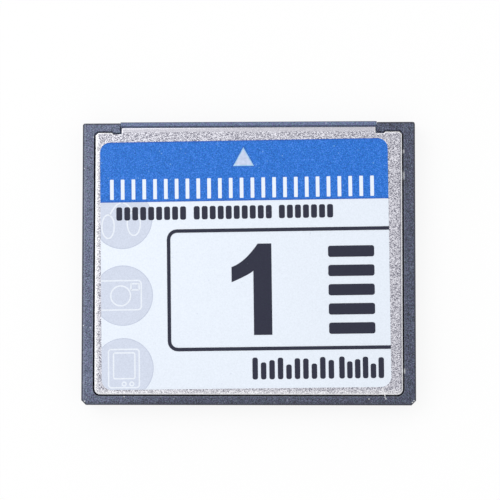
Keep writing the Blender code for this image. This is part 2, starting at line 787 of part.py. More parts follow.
def build_label_band(material):
    """Band of colour across the label's front, with an insertion arrow and stripes left out of it."""
    half_width = LABEL_WIDTH / 2
    front = LABEL_LENGTH / 2
    rear = front - BAND_LENGTH
    levels = [(PRINT_BASE, 0.0), (PRINT_BASE + PRINT_THICKNESS, 0.0)]
    corners = rectangle(half_width, rear, front, 0.0, LABEL_CORNER_RADIUS)
    band = make_object("label_band", plate_mesh("band", corners, levels), material)

    low_z = PRINT_BASE - OVERRUN
    high_z = PRINT_BASE + OVERRUN
    apex = front - ARROW_TO_EDGE
    base = apex - ARROW_LENGTH
    arrow = [(-ARROW_WIDTH / 2, base), (ARROW_WIDTH / 2, base), (0.0, apex)]
    tools = [skin_mesh("arrow", [[(x, y, z) for x, y in arrow] for z in (low_z, high_z)])]
    start = rear + STRIPE_TO_BAND_EDGE
    for index in range(STRIPE_COUNT):
        x = (index - (STRIPE_COUNT - 1) / 2) * STRIPE_PITCH
        low = (x - STRIPE_WIDTH / 2, start, low_z)
        high = (x + STRIPE_WIDTH / 2, start + STRIPE_LENGTH, high_z)
        tools.append(block_mesh("stripe", low, high))
    cut(band, joined_mesh("openings", tools))
    place_on_label(band)
    return band


def build_label_rule(material):
    """Dark line round the capacity figure, open towards the label's right edge."""
    right = LABEL_WIDTH / 2
    bottom = RULE_TOP - RULE_LENGTH
    outer = [
        (RULE_LEFT, bottom, RULE_CORNER_RADIUS),
        (right, bottom, 0.0),
        (right, bottom + RULE_WIDTH, 0.0),
        (RULE_LEFT + RULE_WIDTH, bottom + RULE_WIDTH, RULE_CORNER_RADIUS - RULE_WIDTH),
        (RULE_LEFT + RULE_WIDTH, RULE_TOP - RULE_WIDTH, RULE_CORNER_RADIUS - RULE_WIDTH),
        (right, RULE_TOP - RULE_WIDTH, 0.0),
        (right, RULE_TOP, 0.0),
        (RULE_LEFT, RULE_TOP, RULE_CORNER_RADIUS),
    ]
    levels = [(PRINT_BASE, 0.0), (PRINT_BASE + PRINT_THICKNESS, 0.0)]
    rule = make_object("label_rule", plate_mesh("rule", outer, levels), material)
    place_on_label(rule)
    return rule


def main():
    """Build the card."""
    clear_scene()
    frame_plastic = make_material("frame_plastic", (0.115, 0.13, 0.195), 0.45)
    steel = make_material("stainless_steel", (0.56, 0.56, 0.6), 0.38, 1.0)
    housing_plastic = make_material("housing_plastic", (0.17, 0.2, 0.31), 0.42)
    gold = make_material("gold_plating", (0.83, 0.6, 0.24), 0.25, 1.0)
    board_green = make_material("board_laminate", (0.02, 0.13, 0.05), 0.4)
    chip_black = make_material("chip_moulding", (0.02, 0.02, 0.022), 0.55)
    label_white = make_material("label_white", (0.8, 0.86, 0.96), 0.4)
    band_blue = make_material("band_blue", (0.06, 0.19, 0.68), 0.4)
    print_dark = make_material("print_dark", (0.04, 0.04, 0.07), 0.45)

    build_frame(frame_plastic)
    build_covers(steel)
    build_connector_housing(housing_plastic)
    build_contacts(gold)
    build_board(board_green)
    build_chips(chip_black)
    build_label(label_white)
    build_label_band(band_blue)
    build_label_rule(print_dark)


main()
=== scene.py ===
# Compact flash card: its looks, floor, light and camera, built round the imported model.
# X runs across the card, Y towards the connector and Z up. Lengths are in metres.
import math

import bpy
import numpy as np
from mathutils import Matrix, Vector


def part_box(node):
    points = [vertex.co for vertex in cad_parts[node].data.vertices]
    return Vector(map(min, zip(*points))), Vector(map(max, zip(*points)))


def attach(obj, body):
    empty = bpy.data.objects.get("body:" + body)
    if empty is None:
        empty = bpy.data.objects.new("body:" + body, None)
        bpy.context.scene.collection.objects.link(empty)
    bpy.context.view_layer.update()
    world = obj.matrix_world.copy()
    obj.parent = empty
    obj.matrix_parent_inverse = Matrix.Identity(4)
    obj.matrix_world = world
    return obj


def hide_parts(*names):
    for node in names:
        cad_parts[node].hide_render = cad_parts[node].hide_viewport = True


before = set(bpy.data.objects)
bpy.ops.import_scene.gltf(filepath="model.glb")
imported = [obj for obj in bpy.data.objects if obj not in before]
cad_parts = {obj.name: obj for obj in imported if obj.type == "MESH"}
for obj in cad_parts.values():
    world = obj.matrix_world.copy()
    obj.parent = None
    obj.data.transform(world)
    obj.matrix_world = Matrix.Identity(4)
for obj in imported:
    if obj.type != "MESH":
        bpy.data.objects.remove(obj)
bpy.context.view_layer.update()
mm = 0.001
scene = bpy.context.scene
print("frame loaded:", len(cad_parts), "nodes")

# Shapes are worked out as whole arrays: the points, the four-sided faces and the caps.


def roundOutline(corners, steps=8):
    # Two parameters, corner and step: a point on a corner's arc is the arc's start, plus radius
    # times sine along the edge, plus radius times (1 - cosine) towards the arc's centre.
    corners = np.array(corners, float)
    place, radius = corners[:, :2], corners[:, 2]
    before = place - np.roll(place, 1, axis=0)
    before /= np.linalg.norm(before, axis=1)[:, None]
    after = np.roll(before, -1, axis=0)
    cross = before[:, 0] * after[:, 1] - before[:, 1] * after[:, 0]
    turn = np.arctan2(cross, (before * after).sum(axis=1))
    start = place - before * (radius * np.tan(np.abs(turn) / 2))[:, None]
    inward = np.stack([-before[:, 1], before[:, 0]], axis=1) * np.sign(turn)[:, None]
    share = np.linspace(0, 1, steps + 1)
    swing = np.abs(turn)[:, None] * share
    along = (radius[:, None] * np.sin(swing))[..., None]
    across = (radius[:, None] * (1 - np.cos(swing)))[..., None]
    arcs = start[:, None] + before[:, None] * along + inward[:, None] * across
    return arcs[(radius[:, None] > 0) | (share == 0)]


def insetOutline(outline, inset):
    # Each point moves along the mitre of its two edges' inward normals.
    edge = np.roll(outline, -1, axis=0) - outline
    edge /= np.linalg.norm(edge, axis=1)[:, None]
    normal = np.stack([-edge[:, 1], edge[:, 0]], axis=1)
    other = np.roll(normal, 1, axis=0)
    mitre = (normal + other) / (1 + (normal * other).sum(axis=1))[:, None]
    return outline + mitre * inset


def gridFaces(rows, columns, closedRows=False):
    # One four-sided face for each step of both parameters. The columns close on themselves.
    row, column = np.meshgrid(np.arange(rows - 1 + closedRows), np.arange(columns), indexing="ij")
    nextRow, nextColumn = (row + 1) % rows, (column + 1) % columns
    corners = [row * columns + column, row * columns + nextColumn,
               nextRow * columns + nextColumn, nextRow * columns + column]
    return np.stack(corners, axis=-1).reshape(-1, 4)


def ringsAlong(outline, profile):
    # Two parameters, place along the outline and along the profile of (inset, height) pairs.
    return np.array([np.column_stack([insetOutline(outline, inset), np.full(len(outline), height)])
                     for inset, height in profile])


def plateShape(outline, profile):
    # The profile carried round the outline, from the underside up, with a cap at each end.
    rings = ringsAlong(outline, profile)
    count = len(outline)
    last = count * (len(profile) - 1)
    caps = [np.arange(count)[::-1], np.arange(last, last + count)]
    return rings.reshape(-1, 3), gridFaces(len(profile), count), caps


def ribbonShape(path, width, low, high, closed=True):
    # Two parameters, place along the path and the four corners of a flat bar's section.
    ahead, behind = np.roll(path, -1, axis=0), np.roll(path, 1, axis=0)
    if not closed:
        ahead[-1], behind[0] = path[-1], path[0]
    along = ahead - behind
    along /= np.linalg.norm(along, axis=1)[:, None]
    side = np.stack([along[:, 1], -along[:, 0]], axis=1) * width / 2
    section = [(1, low), (1, high), (-1, high), (-1, low)]
    rings = np.stack([np.column_stack([path + side * across, np.full(len(path), height)])
                      for across, height in section], axis=1)
    last = len(path) * 4
    caps = [] if closed else [np.arange(4), np.arange(last - 4, last)[::-1]]
    return rings.reshape(-1, 3), gridFaces(len(path), 4, closed)[:, ::-1], caps


def joinShapes(shapes):
    starts = np.cumsum([0] + [len(points) for points, faces, caps in shapes])
    points = np.concatenate([points for points, faces, caps in shapes])
    faces = np.concatenate([faces + start for (_, faces, _), start in zip(shapes, starts)])
    caps = [cap + start for (_, _, part), start in zip(shapes, starts) for cap in part]
    return points, faces, caps


def addObject(name, data):
    thing = bpy.data.objects.new(name, data)
    scene.collection.objects.link(thing)
    return thing


def makePiece(name, shape, material, slotName, *nodes, sharpAngle=40):
    points, faces, caps = shape
    mesh = bpy.data.meshes.new(name)
    mesh.from_pydata(points.tolist(), [], faces.tolist() + [cap.tolist() for cap in caps])
    mesh.shade_smooth()
    mesh.set_sharp_from_angle(angle=math.radians(sharpAngle))
    mesh.materials.append(material)
    piece = addObject(name, mesh)
    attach(piece, "root")
    if nodes:
        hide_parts(*nodes)
    return piece


# Short ways to place and join shader nodes.


def addNode(tree, kind, inputs=None, **settings):
    node = tree.nodes.new(kind)
    for key, value in settings.items():
        setattr(node, key, value)
    for key, value in (inputs or {}).items():
        if isinstance(value, bpy.types.NodeSocket):
            tree.links.new(value, node.inputs[key])
        else:
            node.inputs[key].default_value = value
    return node


def calc(tree, operation, first, second=0.0, third=0.0, clamp=False):
    return addNode(tree, "ShaderNodeMath", {0: first, 1: second, 2: third},
                   operation=operation, use_clamp=clamp).outputs[0]


def times(tree, first, second):
    return calc(tree, "MULTIPLY", first, second)


def minus(tree, first, second):
    return calc(tree, "SUBTRACT", first, second)


def timesPlus(tree, first, second, third):
    return calc(tree, "MULTIPLY_ADD", first, second, third)


def over(tree, value, limit):
    return calc(tree, "GREATER_THAN", value, limit)


def under(tree, value, limit):
    return calc(tree, "LESS_THAN", value, limit)


def paint(tree, base, colour, mask, share=None):
    # The colour over the base where the mask is, as strongly as the share says.
    strength = mask if share is None else times(tree, mask, share)
    return addNode(tree, "ShaderNodeMix", {0: strength, 6: base, 7: colour},
                   data_type="RGBA").outputs[2]


def remap(tree, value, low, high, toLow=0.0, toHigh=1.0):
    return addNode(tree, "ShaderNodeMapRange", {0: value, 1: low, 2: high, 3: toLow, 4: toHigh},
                   interpolation_type="SMOOTHSTEP").outputs[0]


def noise(tree, vector, scale, detail=2.0, roughness=0.5):
    return addNode(tree, "ShaderNodeTexNoise", {
        "Vector": vector, "Scale": scale, "Detail": detail, "Roughness": roughness}).outputs


def voronoi(tree, vector, scale):
    return addNode(tree, "ShaderNodeTexVoronoi", {"Vector": vector, "Scale": scale}).outputs


def splitPlace(tree, vector):
    return addNode(tree, "ShaderNodeSeparateXYZ", {0: vector}).outputs


def splitColour(tree, colour):
    return addNode(tree, "ShaderNodeSeparateColor", {0: colour}).outputs


# Shader groups that several materials share, and the numbers inside them.

patterns = {
    "coarse": 0.6, "fine": 0.4, "finer": 3.3, "coarseNoise": (4.0, 0.6), "grainRange": (0.3, 0.7),
    "leastSpeck": 0.5, "speckEdge": 0.6, "lineEdge": 0.7, "spotNoise": 6000.0, "spotBase": 0.5,
    "spotEdge": (0.3, 1.0), "fineSwing": 4.0, "wideSwing": 0.5, "wider": 0.12, "darkest": 0.1,
    "paler": -0.22, "bumpDepth": 0.00002,
}


def newGroup(name, inputs, outputs):
    tree = bpy.data.node_groups.new(name, "ShaderNodeTree")
    for sockets, way in ((inputs, "INPUT"), (outputs, "OUTPUT")):
        for socketName, kind in sockets.items():
            tree.interface.new_socket(socketName, in_out=way, socket_type="NodeSocket" + kind)
    return tree, tree.nodes.new("NodeGroupInput").outputs, tree.nodes.new("NodeGroupOutput").inputs


def makeSurfaceGrain(size):
    # Height is the sum of a coarse and a fine noise, and Value is that stretched to fill 0 to 1.
    tree, given, result = newGroup("surfaceGrain", {"Vector": "Vector", "Scale": "Float"},
                                   {"Value": "Float", "Height": "Float"})
    coarse = noise(tree, given["Vector"], given["Scale"], *size["coarseNoise"])[0]
    fine = noise(tree, given["Vector"], times(tree, given["Scale"], size["finer"]))[0]
    both = timesPlus(tree, fine, size["fine"], times(tree, coarse, size["coarse"]))
    tree.links.new(remap(tree, both, *size["grainRange"]), result["Value"])
    tree.links.new(both, result["Height"])
    return tree


def makeSpecks(size):
    # A cell of a Voronoi pattern holds a speck where its random colour is under Share.
    tree, given, result = newGroup("specks", {
        "Vector": "Vector", "Scale": "Float", "Share": "Float", "Radius": "Float"},
        {"Mask": "Float"})
    cells = voronoi(tree, given["Vector"], given["Scale"])
    random = splitColour(tree, cells["Color"])
    chosen = under(tree, random[0], given["Share"])
    radius = times(tree, given["Radius"], calc(tree, "ADD", random[1], size["leastSpeck"]))
    away = calc(tree, "DIVIDE", cells["Distance"], radius)
    near = calc(tree, "SUBTRACT", 1.0, away, clamp=True)
    mask = times(tree, remap(tree, near, 0.0, size["speckEdge"]), chosen)
    tree.links.new(mask, result["Mask"])
    return tree


def makeSoftLine(size):
    # 1 where the value is at the centre, falling to 0 at half a width from it.
    tree, given, result = newGroup("softLine", {
        "Value": "Float", "Centre": "Float", "Half Width": "Float"}, {"Mask": "Float"})
    away = calc(tree, "ABSOLUTE", minus(tree, given["Value"], given["Centre"]))
    share = calc(tree, "DIVIDE", away, given["Half Width"])
    near = calc(tree, "SUBTRACT", 1.0, share, clamp=True)
    tree.links.new(remap(tree, near, 0.0, size["lineEdge"]), result["Mask"])
    return tree


def makeSpot(size):
    # 1 at the centre, falling to 0 about the radius, its edge made uneven by a noise.
    tree, given, result = newGroup("spot", {
        "Vector": "Vector", "Centre": "Vector", "Radius": "Float"}, {"Mask": "Float"})
    away = addNode(tree, "ShaderNodeVectorMath", {0: given["Vector"], 1: given["Centre"]},
                   operation="DISTANCE").outputs["Value"]
    uneven = noise(tree, given["Vector"], size["spotNoise"])[0]
    share = times(tree, calc(tree, "DIVIDE", away, given["Radius"]),
                  calc(tree, "ADD", uneven, size["spotBase"]))
    tree.links.new(remap(tree, share, *size["spotEdge"], 1.0, 0.0), result["Mask"])
    return tree


def makeMottle(size):
    # How far the sum of a fine and a wide noise is from its middle makes the colour lighter and
    # paler, or darker and stronger, and the hue wanders a little.
    tree, given, result = newGroup("mottle", {
        "Vector": "Vector", "Colour": "Color", "Scale": "Float", "Amount": "Float",
        "Tint": "Float"}, {"Colour": "Color"})
    fine = noise(tree, given["Vector"], given["Scale"], detail=1.0)
    wide = noise(tree, given["Vector"], times(tree, given["Scale"], size["wider"]))[0]
    both = timesPlus(tree, fine[0], size["fineSwing"], times(tree, wide, size["wideSwing"]))
    middle = (size["fineSwing"] + size["wideSwing"]) / 2
    swing = times(tree, minus(tree, both, middle), given["Amount"])
    random = splitColour(tree, fine["Color"])
    hue = timesPlus(tree, minus(tree, random[1], 0.5), given["Tint"], 0.5)
    bright = calc(tree, "MAXIMUM", calc(tree, "ADD", swing, 1.0), size["darkest"])
    paler = timesPlus(tree, swing, size["paler"], 1.0)
    changed = addNode(tree, "ShaderNodeHueSaturation", {
        "Color": given["Colour"], "Hue": hue, "Saturation": paler, "Value": bright})
    tree.links.new(changed.outputs[0], result["Colour"])
    return tree


surfaceGrain, specks = makeSurfaceGrain(patterns), makeSpecks(patterns)
softLine, spot, mottle = makeSoftLine(patterns), makeSpot(patterns), makeMottle(patterns)


def useGroup(tree, group, **inputs):
    named = {key.replace("_", " "): value for key, value in inputs.items()}
    return addNode(tree, "ShaderNodeGroup", named, node_tree=group).outputs


def grainAt(tree, place, scale):
    return useGroup(tree, surfaceGrain, Vector=place, Scale=scale)


def lineMask(tree, value, centre, halfWidth):
    return useGroup(tree, softLine, Value=value, Centre=centre, Half_Width=halfWidth)[0]


def mottled(tree, place, colour, look, amount=None):
    return useGroup(tree, mottle, Vector=place, Colour=colour, Scale=look["mottleScale"],
                    Amount=look["mottle"] if amount is None else amount,
                    Tint=look.get("tint", 0.0))[0]


def newMaterial(name, look, metallic=0.0):
    material = bpy.data.materials.new(name)
    material.use_nodes = True
    tree = material.node_tree
    sockets = tree.nodes["Principled BSDF"].inputs
    sockets["Roughness"].default_value = look["roughness"]
    sockets["Metallic"].default_value = metallic
    sockets["Specular IOR Level"].default_value = look.get("specular", 0.5)
    return material, tree, tree.nodes.new("ShaderNodeTexCoord").outputs["Object"]


def surfaceNormal(tree):
    return splitPlace(tree, tree.nodes["Texture Coordinate"].outputs["Normal"])


def finishMaterial(material, place, base, look, grain=None, height=None):
    # Roughness goes up and down with the grain, and the grain's height is the bump.
    tree = material.node_tree
    sockets = tree.nodes["Principled BSDF"].inputs
    if grain is None:
        grain = grainAt(tree, place, look["grainScale"])
    tree.links.new(base, sockets["Base Color"])
    lowest = look["roughness"] - look["roughSwing"] / 2
    rough = timesPlus(tree, grain["Value"], look["roughSwing"], lowest)
    tree.links.new(rough, sockets["Roughness"])
    bump = addNode(tree, "ShaderNodeBump", {
        "Height": grain["Height"] if height is None else height, "Strength": look["bump"],
        "Distance": patterns["bumpDepth"]})
    tree.links.new(bump.outputs[0], sockets["Normal"])
    return material


print("shader groups built")

# The moulded frame: grey-blue, with painted light making it lighter to the left, an outline of
# painted shade, and worn seams that carry a painted highlight.
# "rear" and "front" are where a change starts and ends and what it adds at each end, a line is
# its centre and half width, and "flat" and "sloped" are ranges of the normal's Z.

frameLook = {
    # The left and right colours, and the changes to the rear and front, are painted light and
    # shade.
    "left": (0.109, 0.132, 0.224, 1), "right": (0.044, 0.055, 0.106, 1), "shadeFade": (-0.0215, -0.003),
    "rear": (-0.0176, -0.0160, 0.35, 0.0), "front": (0.0150, 0.0178, 0.0, -0.15), "rearShare": 0.30,
    # The edge colour is painted shade, the wall colour painted shade on the walls, the worn colour
    # wear and painted highlight, and the bare colour bare plastic and painted highlight.
    "edge": (0.014, 0.015, 0.026, 1), "worn": (0.27, 0.30, 0.38, 1), "bareAndHighlight": (0.80, 0.83, 0.86, 1),
    "wall": (0.012, 0.011, 0.040, 1), "wallFrom": 0.0007, "paintedWallShadeShare": 0.85, "wallCalm": 0.45,
    "roughness": 0.42, "roughSwing": 0.16, "bump": 0.35, "grainScale": 5200.0,
    "mottle": 1.0, "mottleRight": 0.5, "mottleScale": 7800.0, "tint": 0.35,
    "dots": {"Scale": 4200.0, "Share": 0.10, "Radius": 0.40}, "patchScale": 700.0,
    "flat": (0.85, 0.95), "sloped": (0.3, 0.6), "slopeShare": 0.7,
    "outline": (0.00008, 0.00016), "outlineShare": 0.95, "rearLine": (0.00033, 0.00013),
    "rearLineShare": 0.30, "paintedEdgeHighlight": (0.00031, 0.00009), "paintedEdgeHighlightShare": 0.50,
    "seam": (0.00004, 0.00009), "seamShare": 0.55, "sliverLine": (0.00001, 0.00009),
    "slivers": ((0.01425, 0.00035), (0.01115, 0.0007), (-0.01383, 0.00045)), "upperShare": 0.8,
    # in millimetres: x, y, radius; those at the cut rear corners are painted highlights
    "nicksAndHighlights": ((-15.87, -17.16, 0.11), (15.42, -17.39, 0.11), (17.46, -17.17, 0.12),
              (17.56, -17.37, 0.13), (20.93, -17.82, 0.13), (21.14, -17.60, 0.12),
              (-20.95, -17.72, 0.14), (-19.98, 16.30, 0.10), (-21.15, -8.04, 0.12),
              (-20.26, -8.33, 0.10), (-21.15, 12.22, 0.08)), "nicksAndHighlightsShare": 0.7,
}
frameLow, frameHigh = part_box("frame")
frameShape = {"side": frameHigh.x, "rear": frameLow.y, "front": frameHigh.y, "top": frameHigh.z,
              "chamfer": 0.0006, "recessSide": 0.01994, "recessRear": -0.01707,
              "recessRadius": 0.00093}


def frameDistances(tree, split, size):
    # Distance inside the outer edge, the cut corners among it, then inside the sides alone.
    across = calc(tree, "ABSOLUTE", split[0])
    half = math.sqrt(0.5)
    cornerEdge = (size["side"] - size["rear"] - size["chamfer"]) * half
    toCorner = minus(tree, cornerEdge, times(tree, minus(tree, across, split[1]), half))
    toEnds = calc(tree, "MINIMUM", minus(tree, split[1], size["rear"]),
                  minus(tree, size["front"], split[1]))
    toSide = minus(tree, size["side"], across)
    inside = calc(tree, "MINIMUM", toSide, calc(tree, "MINIMUM", toCorner, toEnds))
    # Distance outside the recess that the cover lies in, as from a rounded rectangle.
    radius = size["recessRadius"]
    pastSide = calc(tree, "MAXIMUM", minus(tree, across, size["recessSide"] - radius), 0.0)
    pastRear = calc(tree, "MAXIMUM", minus(tree, size["recessRear"] + radius, split[1]), 0.0)
    reach = timesPlus(tree, pastSide, pastSide, times(tree, pastRear, pastRear))
    outside = minus(tree, calc(tree, "SQRT", reach), radius)
    return inside, toSide, outside


def frameMaterial(look, size):
    material, tree, place = newMaterial("frameMoulding", look)
    split = splitPlace(tree, place)
    inside, toSide, outside = frameDistances(tree, split, size)
    upright = surfaceNormal(tree)[2]
    level = calc(tree, "ABSOLUTE", upright)
    flat = remap(tree, level, *look["flat"])

    # Painted shade: darker to the right and at the rear; painted light: lighter at the front; and
    # calmer on the walls.
    paintedShadeToRear = remap(tree, split[1], *look["rear"])
    paintedLightToFront = remap(tree, split[1], *look["front"])
    paintedShadeToRight = calc(tree, "ADD", remap(tree, split[0], *look["shadeFade"]),
                   calc(tree, "ADD", paintedShadeToRear, paintedLightToFront), clamp=True)
    base = paint(tree, look["left"], look["right"], paintedShadeToRight)
    calmer = timesPlus(tree, flat, 1 - look["wallCalm"], look["wallCalm"])
    amount = timesPlus(tree, paintedShadeToRight, look["mottle"] * look["mottleRight"], look["mottle"])
    base = mottled(tree, place, base, look, times(tree, amount, calmer))
    base = paint(tree, base, look["edge"], paintedShadeToRear, look["rearShare"])
    grain = grainAt(tree, place, look["grainScale"])
    patches = grainAt(tree, place, look["patchScale"])["Value"]
    dots = useGroup(tree, specks, Vector=place, **look["dots"])[0]
    base = paint(tree, base, look["worn"], dots, times(tree, patches, calmer))

    # Painted shade: a dark outline, dark slopes and a dark line near the rear edge.
    outline = lineMask(tree, inside, *look["outline"])
    slope = times(tree, remap(tree, level, *look["sloped"]), minus(tree, 1.0, flat))
    rearLine = lineMask(tree, minus(tree, split[1], size["rear"]), *look["rearLine"])
    for mask, share in ((outline, times(tree, flat, look["outlineShare"])),
                        (slope, look["slopeShare"]), (rearLine, look["rearLineShare"])):
        base = paint(tree, base, look["edge"], mask, share)

    # Painted highlights on the upper face near the sides, and worn lines with a painted
    # highlight along the cover's seam.
    paintedEdgeHighlight = times(tree, lineMask(tree, toSide, *look["paintedEdgeHighlight"]),
                timesPlus(tree, paintedShadeToRight, -look["paintedEdgeHighlightShare"], look["paintedEdgeHighlightShare"]))
    seam = times(tree, lineMask(tree, outside, *look["seam"]),
                 times(tree, grain["Value"], look["seamShare"]))
    upward = remap(tree, upright, *look["flat"])
    base = paint(tree, base, look["worn"], calc(tree, "MAXIMUM", paintedEdgeHighlight, seam), upward)

    # Painted shade: walls away from the outer edge are darker.
    inner = times(tree, under(tree, level, look["sloped"][0]),
                  over(tree, inside, look["wallFrom"]))
    base = paint(tree, base, look["wall"], inner, look["paintedWallShadeShare"])

    # Slivers along the right seam, wear with a painted highlight, and the nicks, bare plastic
    # except at the cut rear corners, where they are painted highlights.
    onRight = times(tree, over(tree, split[0], 0.0),
                    over(tree, split[2], size["top"] * look["upperShare"]))
    onRight = times(tree, lineMask(tree, outside, *look["sliverLine"]), onRight)
    bareAndHighlight = 0.0
    for sliver in look["slivers"]:
        bareAndHighlight = calc(tree, "MAXIMUM", bareAndHighlight,
                    times(tree, lineMask(tree, split[1], *sliver), onRight))
    for x, y, radius in look["nicksAndHighlights"]:
        nickAndHighlight = useGroup(tree, spot, Vector=place, Centre=(x * mm, y * mm, size["top"]),
                        Radius=radius * mm)[0]
        bareAndHighlight = calc(tree, "MAXIMUM", bareAndHighlight, times(tree, nickAndHighlight, look["nicksAndHighlightsShare"]))
    base = paint(tree, base, look["bareAndHighlight"], bareAndHighlight)
    return finishMaterial(material, place, base, look, grain)


# Blasted stainless sheet: random light and dark cells, an even grey band near the connector,
# painted highlights along the left and the rear, and painted shade inside the right edge. The
# rounded rim carries a painted highlight: at the front it is faint on the lip and by the left
# hook, and half as bright by the right one.

steelLook = {
    "dark": (0.135, 0.132, 0.175, 1), "bright": (0.735, 0.732, 0.790, 1),
    "smooth": (0.50, 0.495, 0.545, 1), "rim": (0.80, 0.80, 0.815, 1),
    "glow": (0.93, 0.93, 0.94, 1), "groove": (0.16, 0.16, 0.19, 1),
    "roughness": 0.36, "roughSwing": 0.2, "bump": 0.4, "grainScale": 5600.0, "cellHeight": 0.3,
    "cellScale": 12500.0, "cellTurn": 0.7, "cellStretch": (0.8, 1.2, 1), "cellRange": (0.15, 0.80),
    "smoothFrom": 0.01693, "smoothStep": 0.0001, "smoothShare": 0.82,
    "grooveLine": (0.01951, 0.00009), "grooveShare": 0.7, "sideHighlight": (-0.01975, 0.00068),
    "rearHighlight": (-0.01690, 0.0009), "rearShare": 0.62, "highlightSwing": 0.5, "highlightLeast": 0.32,
    "rimHighlightRange": (0.25, 0.9), "rimHighlightFront": 0.0160, "rimHighlightLeft": -0.0175,
    "lipEnd": 0.0161, "lipShare": 0.35, "hookEnd": 0.0175, "hookShare": 0.5,
}


def steelMaterial(look):
    material, tree, place = newMaterial("blastedSteel", look, metallic=1.0)
    split = splitPlace(tree, place)
    stretched = addNode(tree, "ShaderNodeMapping", {
        "Vector": place, "Rotation": (0, 0, look["cellTurn"]),
        "Scale": look["cellStretch"]}).outputs[0]
    cell = voronoi(tree, stretched, look["cellScale"])["Color"]
    lightness = remap(tree, splitColour(tree, cell)[0], *look["cellRange"])
    grain = grainAt(tree, place, look["grainScale"])
    base = paint(tree, look["dark"], look["bright"], lightness)
    # An even grey band near the connector.
    smooth = remap(tree, split[1], look["smoothFrom"] - look["smoothStep"],
                   look["smoothFrom"] + look["smoothStep"])
    base = paint(tree, base, look["smooth"], smooth, look["smoothShare"])
    # Painted shade: a dark line inside the right edge, where its rounding turns from the light.
    groove = lineMask(tree, split[0], *look["grooveLine"])
    base = paint(tree, base, look["groove"], groove, look["grooveShare"])
    # Painted highlights: bright lines along the left edge and the rear, stronger on light cells.
    glow = calc(tree, "MAXIMUM", lineMask(tree, split[0], *look["sideHighlight"]),
                times(tree, look["rearShare"], lineMask(tree, split[1], *look["rearHighlight"])))
    onCells = timesPlus(tree, lightness, look["highlightSwing"], look["highlightLeast"])
    base = paint(tree, base, look["glow"], glow, onCells)
    # The rim attribute lays the painted highlight of the rim colour along the rounded edge.
    rim = addNode(tree, "ShaderNodeAttribute", attribute_name="rim").outputs["Fac"]
    fainter = calc(tree, "ADD",
                   times(tree, under(tree, split[0], look["lipEnd"]), look["lipShare"]),
                   times(tree, under(tree, split[0], look["hookEnd"]), look["hookShare"]))
    fainter = times(tree, fainter, over(tree, split[0], look["rimHighlightLeft"]))
    fainter = times(tree, fainter, over(tree, split[1], look["rimHighlightFront"]))
    rim = remap(tree, rim, *look["rimHighlightRange"])
    base = paint(tree, base, look["rim"], rim, minus(tree, 1.0, fainter))
    height = timesPlus(tree, lightness, look["cellHeight"], grain["Height"])
    return finishMaterial(material, place, base, look, grain, height)


# The connector's moulding, with its socket faces and the lip that shows beside the cover.

housingLook = {
    # The edge colour is painted shade.
    "body": (0.107, 0.148, 0.278, 1), "edge": (0.050, 0.058, 0.100, 1),
    "worn": (0.36, 0.40, 0.50, 1), "roughness": 0.38, "roughSwing": 0.14, "bump": 0.25,
    "mottle": 0.55, "mottleScale": 6500.0, "tint": 0.3, "grainScale": 4800.0,
    "dots": {"Scale": 1800.0, "Share": 0.05, "Radius": 0.3}, "dotShare": 0.7,
    "streakStretch": (0.04, 1, 1), "streakScale": 6500.0, "streakShare": 0.07, "lipDepth": 0.00055,
    "rearWidth": 0.00007, "frontInset": 0.00003, "frontWidth": 0.00011, "lineShare": 0.6,
    "flatFrom": 0.5,
}


def housingMaterial(look, frontY):
    material, tree, place = newMaterial("housingMoulding", look)
    split = splitPlace(tree, place)
    base = mottled(tree, place, look["body"], look)
    dots = useGroup(tree, specks, Vector=place, **look["dots"])[0]
    base = paint(tree, base, look["worn"], dots, look["dotShare"])
    combed = addNode(tree, "ShaderNodeMapping", {
        "Vector": place, "Scale": look["streakStretch"]}).outputs[0]
    streaks = grainAt(tree, combed, look["streakScale"])["Value"]
    base = paint(tree, base, look["worn"], streaks, look["streakShare"])
    # Painted shade: dark lines along the lip's rear edge, where the sheet's shadow falls, and along
    # its rounded front edge.
    paintedShadeLines = calc(tree, "MAXIMUM",
                 lineMask(tree, split[1], frontY - look["lipDepth"], look["rearWidth"]),
                 lineMask(tree, split[1], frontY - look["frontInset"], look["frontWidth"]))
    topFace = over(tree, calc(tree, "ABSOLUTE", surfaceNormal(tree)[2]), look["flatFrom"])
    base = paint(tree, base, look["edge"], paintedShadeLines, times(tree, topFace, look["lineShare"]))
    return finishMaterial(material, place, base, look)


goldLook = {"plating": (0.80, 0.56, 0.21, 1), "thin": (0.62, 0.45, 0.24, 1), "thinShare": 0.5,
            "patchScale": 1400.0, "grainScale": 9000.0, "roughness": 0.24, "roughSwing": 0.16,
            "bump": 0.1}


def goldMaterial(look):
    material, tree, place = newMaterial("goldPlating", look, metallic=1.0)
    patches = grainAt(tree, place, look["patchScale"])["Value"]
    base = paint(tree, look["plating"], look["thin"], patches, look["thinShare"])
    return finishMaterial(material, place, base, look)


# The board: green mask over traces, bare pads under the contacts' feet, small parts on both
# faces, which lie at "low" and "high".

boardLook = {
    "mask": (0.015, 0.11, 0.045, 1), "trace": (0.03, 0.19, 0.08, 1), "pad": (0.75, 0.52, 0.2, 1),
    "upperPart": (0.42, 0.30, 0.19, 1), "lowerPart": (0.03, 0.03, 0.035, 1), "low": 0.00115,
    "high": 0.00175, "past": 0.00002, "padLength": 0.0012, "padShare": 0.22, "pitch": 0.00127,
    "traces": {"Scale": 900.0, "Color1": (0, 0, 0, 1), "Color2": (0.5, 0.5, 0.5, 1),
               "Mortar": (1, 1, 1, 1), "Mortar Size": 0.012, "Brick Width": 1.7,
               "Row Height": 0.42}, "traceShift": 0.37, "mottle": 0.3, "mottleScale": 1500.0,
    "grainScale": 3000.0, "roughness": 0.4, "roughSwing": 0.2, "bump": 0.1,
}


